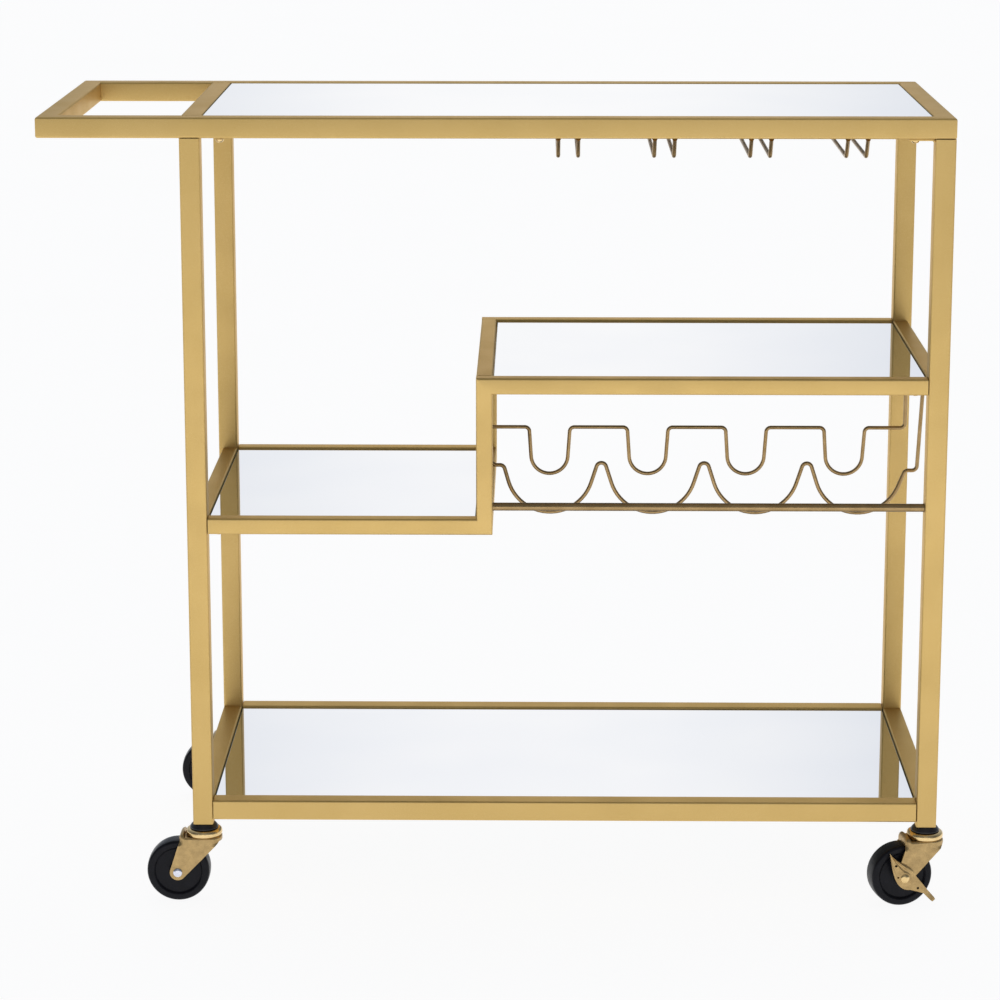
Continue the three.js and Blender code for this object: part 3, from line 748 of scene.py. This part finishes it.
def fork_head(outline):
    """Points and rings of the domed head, from the hole round the king pin to the skirt's foot."""
    points, rings = [], []

    def ring(flat, z):
        rings.append(list(range(len(points), len(points) + len(outline))))
        points.extend((x, y, z) for x, y in flat)

    hole_radius, bend_steps = 5.9, 6
    hole = [Vector(p).normalized() * hole_radius for p in outline]
    rim = [Vector(p) for p in head_outline(HEAD_BEND)[0]]
    for share in (0, 0.5, 0.79, 0.83, 0.88, 0.92, 0.96):
        ring([a.lerp(b, share) for a, b in zip(hole, rim)], HEAD_TOP)
    for step in range(bend_steps + 1):
        angle = math.pi / 2 * step / bend_steps
        inset = HEAD_BEND * (1 - math.sin(angle))
        ring(head_outline(inset)[0], HEAD_TOP - HEAD_BEND * (1 - math.cos(angle)))
    ring(outline, SKIRT_BOTTOM)
    height = HEAD_TOP - SKIRT_BOTTOM
    points = [(x, y, z + hump(x, y) * (z - SKIRT_BOTTOM) / height) for x, y, z in points]
    return points, rings


def plate_heights(plate_steps=16, eye_steps=10):
    """The heights of a side plate's rows, from under the skirt down round the eye."""
    drop = WHEEL_RADIUS - SKIRT_BOTTOM
    heights = [SKIRT_BOTTOM + drop * (i + 1) / plate_steps for i in range(plate_steps)]
    turns = [math.pi / 2 * (i + 1) / eye_steps for i in range(eye_steps)]
    return heights + [WHEEL_RADIUS - EYE_RADIUS * math.sin(turn) for turn in turns]


def side_plate(points, faces, above, left, right):
    """Hangs a plate from the skirt's points above; it straightens and flattens as it goes down."""
    start = [points[v] for v in above]
    x_first, x_last = start[0][0], start[-1][0]
    side = 1 if start[len(start) // 2][1] > 0 else -1
    for z in plate_heights():
        below = SKIRT_BOTTOM - z
        slide = min(1.0, below / STRAIGHT_RUN)
        flatten = step_up(below, 0, FLAT_RUN)
        row = []
        for x, y, _ in start:
            share = (x - x_first) / (x_last - x_first)
            if x_first > x_last:
                share = 1 - share
            flat_x = left(z) + (right(z) - left(z)) * share
            row.append(len(points))
            points.append((
                x * (1 - slide) + flat_x * slide,
                y * (1 - flatten) + side * FORK_OUTSIDE * flatten,
                z,
            ))
        for i in range(len(above) - 1):
            faces.append([above[i], row[i], row[i + 1], above[i + 1]])
        above = row


def make_fork(tag, place):
    """The stamped fork: a domed head with a short skirt and two plates that taper to eyes."""
    outline, marks = head_outline(0)
    count = len(outline)
    points, rings = fork_head(outline)
    faces = []
    for low, high in zip(rings, rings[1:]):
        for k in range(count):
            n = (k + 1) % count
            faces.append([low[k], high[k], high[n], low[n]])
    left = tangent_side(PLATE_LEFT_TOP, 1)
    right = tangent_side(PLATE_RIGHT_TOP, -1)
    for first, last in ((marks[0], marks[1]), (marks[2], marks[3])):
        side_plate(points, faces, rings[-1][first:last + 1], left, right)
    thing = new_object(f"fork_shell_{tag}", points, faces, ("caster_brass",), place)
    thicken(thing, FORK_PLATE, even=True)
    break_edges(thing, 0.4, angle=50)
    rides(thing, f"fork_{tag}", "caster_brass", f"caster_fork_{tag}")


def make_axle(tag, place):
    """The axle rivet with domed heads; it holds the brake lever too where there is one."""
    braked = tag in BRAKED
    side = FORK_OUTSIDE + CLEARANCE
    near = side + (LEAF_PLATE + BOSS_HEIGHT if braked else 0)
    head, height = 4.7, 2.0
    profile = dome(head, height, -near, -1)[::-1] + [(3.0, -near), (3.0, side)]
    profile += dome(head, height, side, 1)
    finish = "polished_brass" if braked else "rivet_steel"
    points, faces = lathe(profile, 48)
    thing = new_object(f"axle_rivet_{tag}", points, faces, (finish,), about_axle(place))
    slot = "caster_brass" if braked else "rivet_steel"
    rides(thing, f"fork_{tag}", slot, f"caster_axle_{tag}")


def make_wheel(tag, place):
    """A hard moulded wheel: hub, recessed web, stepped rim and a slightly crowned tread."""
    half = [
        (3.6, 11.4, 0), (8.3, 11.4, 0.7), (9.4, 8.2, 0.8), (21.6, 8.0, 0), (22.8, 8.0, 0.8),
        (24.2, 9.9, 0.8), (25.2, 10.4, 0.5), (29.4, 10.5, 1.2), (31.2, 9.0, 1.4), (31.6, 5.2, 1.5),
        (31.75, 0.5, 0),
    ]
    front = smooth_profile(half)
    back = [(r, -y) for r, y in front[::-1]]
    profile = front + back + [front[0]]
    points, faces = lathe(profile, 120)
    thing = new_object(f"wheel_moulded_{tag}", points, faces, ("wheel_black",), about_axle(place))
    rides(thing, f"wheel_{tag}", "wheel_black", f"caster_wheel_{tag}")


def bezier(a, b, c, d, steps):
    """Points on a cubic curve, its start left out."""
    path = []
    for i in range(1, steps + 1):
        t = i / steps
        s = 1 - t
        weights = (s**3, 3 * s * s * t, 3 * s * t * t, t**3)
        path.append(sum((Vector(p) * w for p, w in zip((a, b, c, d), weights)), Vector((0, 0))))
    return path


def fold(share, centre, half_width, height):
    """A rounded fold across the leaf, at a share of the way from its low edge to its high one."""
    return height * math.exp(-(((share - centre) / half_width) ** 2))


def leaf_bulge(x, z, share, along):
    """How far the leaf stands out at a place about the axle: a boss, a tongue and rolled edges."""
    boss = step_up(-math.hypot(x, z), -8.6, -5.4)
    tongue = 0.9 * max(0.0, 1 - math.hypot((x + 6) / 5, (z - 8) / 9))
    foot = 0.6 * max(0.0, (x - 11) / 14)
    middle = math.sqrt(max(0.0, 1 - abs(along - 0.5) / 0.46))
    high_edge = fold(share, 0.9, 0.09, 1.7)
    ridge = fold(share, 0.62, 0.07, 1.0) * step_up(-x, -6, -1)
    low_edge = fold(share, 0.08, 0.08, 0.8)
    rolled = middle * (high_edge + ridge + low_edge)
    return BOSS_HEIGHT * boss + (tongue + foot + rolled) * (1 - boss)


def leaf_rows():
    """Rows across the leaf, tip to foot: its low and high point, the share along and the lift."""
    tip = Vector((-16, 27))
    curve_steps, end_steps = 26, 4
    low_side = [tip] + bezier(tip, (-13.5, 12), (-11.5, -13), (6, -12.6), curve_steps)
    high_side = [tip] + bezier(tip, (-7, 14), (8, 14), (12, 1.5), curve_steps)
    low_end, high_end = Vector((20, -17)), Vector((24, -13.5))
    for side, end in ((low_side, low_end), (high_side, high_end)):
        start = side[-1]
        side += [start.lerp(end, (i + 1) / end_steps) for i in range(end_steps)]
    pairs = enumerate(zip(low_side, high_side))
    rows = [(low, high, i / curve_steps, 0.0) for i, (low, high) in pairs]
    out = Vector((0.67, -0.745))
    middle, across = (low_end + high_end) / 2, (high_end - low_end) / 2
    for reach, lift, width in ((3, 1.0, 0.98), (6, 2.4, 0.95), (9, 4.0, 0.9), (11, 5.1, 0.7)):
        centre = middle + out * reach
        rows.append((centre - across * width, centre + across * width, 1.0, lift))
    return rows, low_end, high_end


def plate_faces(row_count, wide):
    """Faces of a closed plate from its outer points, row by row, and then its inner ones."""
    count = row_count * wide
    faces = []
    for i in range(row_count - 1):
        for k in range(wide - 1):
            v = i * wide + k
            quad = [v, v + 1, v + wide + 1, v + wide]
            faces += [quad, [v + count for v in reversed(quad)]]
        for v in (i * wide, i * wide + wide - 1):
            faces.append([v, v + wide, v + wide + count, v + count])
    for v in range(count - wide, count - 1):
        faces.append([v, v + 1, v + 1 + count, v + count])
    return faces


def make_lever(tag, place):
    """The leaf-shaped brake lever on the axle, with its lower end bent out into a foot tab."""
    rows, low_end, high_end = leaf_rows()
    columns = 24
    near = -(FORK_OUTSIDE + CLEARANCE + LEAF_PLATE)
    outer, inner = [], []
    for low, high, along, lift in rows:
        for k in range(columns + 1):
            share = k / columns
            p = low.lerp(high, share)
            root = low_end.lerp(high_end, share) if lift else p
            bulge = leaf_bulge(root.x, root.y, share, along) if along else 0.0
            outer.append((p.x - TRAIL, near - bulge - lift, p.y + WHEEL_RADIUS))
            inner.append((p.x - TRAIL, near + LEAF_PLATE - lift, p.y + WHEEL_RADIUS))
    faces = plate_faces(len(rows), columns + 1)
    thing = new_object(f"brake_leaf_{tag}", outer + inner, faces, ("caster_brass",), place)
    break_edges(thing, 0.3, angle=60)
    pierce(thing, place, LEAF_HOLES)
    rides(thing, f"lever_{tag}", "caster_brass", f"brake_lever_{tag}")


def pierce(thing, place, holes):
    """Cuts small round holes through the brake leaf at places (x, z, radius) about the axle."""
    for x, z, radius in holes:
        points, faces = lathe([(0, 8), (radius, 8), (radius, 32), (0, 32)], 20)
        across = Matrix.Translation(Vector((x - TRAIL, 0, z + WHEEL_RADIUS)) * MM)
        cutter = new_object(
            "cutter", points, faces, ("caster_brass",),
            place @ across @ Matrix.Rotation(math.pi / 2, 4, "X"),
        )
        cut = thing.modifiers.new("hole", "BOOLEAN")
        cut.object = cutter
        cut.operation = "DIFFERENCE"
        cut.solver = "EXACT"
        settle(thing)
        bpy.data.objects.remove(cutter)


def make_casters():
    """All four casters, each with its fork, wheel and axle, and the two brake levers."""
    for tag in CASTERS:
        place = caster_place(tag)
        make_insert(tag, place)
        make_stem(tag, place)
        make_fork(tag, place)
        make_axle(tag, place)
        make_wheel(tag, place)
        if tag in BRAKED:
            make_lever(tag, place)


# ---------------------------------------------------------------- studio

# The floor's glow and tone as the camera sees it, and as it lights the cart.
FLOOR_SEEN = 0.925
FLOOR_LIGHT = 0.90
FLOOR_SEEN_TONE = rgb(100, 100, 102)
FLOOR_LIGHT_TONE = rgb(215, 215, 217)

# The room's light, as shares of the wall behind the cart, and its tone away from the middle.
OVERHEAD = 0.8
SIDES = 0.55
FRONT_WALL = 0.45
EDGE_TONE = (0.56, 0.62, 0.72, 1)
BACKDROP = rgb(251, 251, 251)

CAMERA_PLACE = (0.0362, -3.1765, 1.141)
CAMERA_PITCH = 12.09
CAMERA_YAW = -0.70
CAMERA_LENS = 113.55
CAMERA_SHIFT = -0.08


def make_floor():
    """A wide pale floor, lit like a studio sweep: it lights the cart from below."""
    half = 60.0
    mesh = bpy.data.meshes.new("floor")
    corners = [(-half, -half, 0), (half, -half, 0), (half, half, 0), (-half, half, 0)]
    mesh.from_pydata(corners, [], [(0, 1, 2, 3)])
    floor = bpy.data.objects.new("floor", mesh)
    bpy.context.scene.collection.objects.link(floor)
    finish = Finish("floor_pale", FLOOR_SEEN_TONE, roughness=0.9)
    finish.shader.inputs["Specular IOR Level"].default_value = 0.0
    finish.shader.inputs["Emission Color"].default_value = (1, 1, 1, 1)
    seen = finish.tree.nodes.new("ShaderNodeLightPath").outputs["Is Camera Ray"]
    shade = finish.spread(finish.noise(400), 0.96, 1.04)
    tone = finish.blend(seen, FLOOR_LIGHT_TONE, FLOOR_SEEN_TONE)
    color = finish.blend(shade, rgb(0, 0, 0), tone)
    finish.tree.links.new(color, finish.shader.inputs["Base Color"])
    glow = finish.spread(seen, FLOOR_LIGHT, FLOOR_SEEN, 0.0, 1.0)
    finish.tree.links.new(glow, finish.shader.inputs["Emission Strength"])
    mesh.materials.append(finish.material)


def make_world():
    """A studio with a bright wall behind the cart, dim overhead and to the sides."""
    world = bpy.data.worlds.new("studio")
    bpy.context.scene.world = world
    world.use_nodes = True
    tree = world.node_tree
    tree.nodes.clear()

    def node(kind, **values):
        made = tree.nodes.new(kind)
        for key, value in values.items():
            setattr(made, key, value)
        return made

    def ranged(value, start, end, low, high):
        made = node("ShaderNodeMapRange", interpolation_type="SMOOTHSTEP")
        for key, number in zip(("From Min", "From Max", "To Min", "To Max"), (start, end, low, high)):
            made.inputs[key].default_value = number
        tree.links.new(value, made.inputs["Value"])
        return made.outputs["Result"]

    def times(first, second):
        made = node("ShaderNodeMath", operation="MULTIPLY")
        tree.links.new(first, made.inputs[0])
        tree.links.new(second, made.inputs[1])
        return made.outputs[0]

    def mixed(factor, first, second):
        made = node("ShaderNodeMix", data_type="RGBA")
        tree.links.new(factor, made.inputs[0])
        made.inputs[6].default_value = first
        made.inputs[7].default_value = second
        return made.outputs[2]

    direction = node("ShaderNodeTexCoord").outputs["Generated"]
    axes = node("ShaderNodeSeparateXYZ")
    tree.links.new(direction, axes.inputs[0])
    sideways = node("ShaderNodeMath", operation="ABSOLUTE")
    tree.links.new(axes.outputs["X"], sideways.inputs[0])
    overhead = ranged(axes.outputs["Z"], 0.32, 0.75, 1.0, OVERHEAD)
    sides = ranged(sideways.outputs[0], 0.4, 0.9, 1.0, SIDES)
    ahead = ranged(axes.outputs["Y"], -0.4, 0.5, FRONT_WALL, 1.0)
    room = node("ShaderNodeBackground")
    color = mixed(ranged(sideways.outputs[0], 0.02, 0.24, 0.0, 1.0), (1, 1, 1, 1), EDGE_TONE)
    tree.links.new(color, room.inputs["Color"])
    tree.links.new(times(times(overhead, sides), ahead), room.inputs["Strength"])
    seen = node("ShaderNodeBackground")
    seen.inputs["Color"].default_value = BACKDROP
    path = node("ShaderNodeLightPath")
    mix = node("ShaderNodeMixShader")
    tree.links.new(path.outputs["Is Camera Ray"], mix.inputs[0])
    tree.links.new(room.outputs[0], mix.inputs[1])
    tree.links.new(seen.outputs[0], mix.inputs[2])
    output = node("ShaderNodeOutputWorld")
    tree.links.new(mix.outputs[0], output.inputs["Surface"])


def softbox(name, location, target, width, height, power):
    """A rectangular area light that looks at a point and isn't itself seen by the camera."""
    light = bpy.data.lights.new(name, "AREA")
    light.shape = "RECTANGLE"
    light.size, light.size_y = width, height
    light.energy = power
    lamp = bpy.data.objects.new(name, light)
    bpy.context.scene.collection.objects.link(lamp)
    lamp.location = location
    aim = Vector(target) - Vector(location)
    lamp.rotation_euler = aim.to_track_quat("-Z", "Y").to_euler()
    lamp.visible_camera = False
    return lamp


def make_lights():
    """One long low softbox in front, to light the casters and the fronts of the tubes."""
    softbox("front_key", (-0.05, -1.4, 0.16), (-0.05, 0, 0.4), 2.4, 0.3, 2)


def make_camera():
    """The product-shot camera: a long lens a little above the cart, almost square to it."""
    camera = bpy.data.cameras.new("camera")
    camera.lens = CAMERA_LENS
    camera.sensor_width = 36
    camera.shift_y = CAMERA_SHIFT
    camera.clip_end = 200
    camera.dof.use_dof = False
    thing = bpy.data.objects.new("camera", camera)
    bpy.context.scene.collection.objects.link(thing)
    thing.location = CAMERA_PLACE
    pitch, yaw = math.radians(CAMERA_PITCH), math.radians(CAMERA_YAW)
    thing.rotation_euler = (math.pi / 2 - pitch, 0, -yaw)
    bpy.context.scene.camera = thing
    bpy.context.scene.view_settings.view_transform = "Standard"


# ---------------------------------------------------------------- assembly

dress_cad_nodes()
for name in SHELVES:
    make_mirror(name)
make_bottle_rack()
make_glass_hangers()
make_fixings()
make_casters()
make_floor()
make_world()
make_lights()
make_camera()
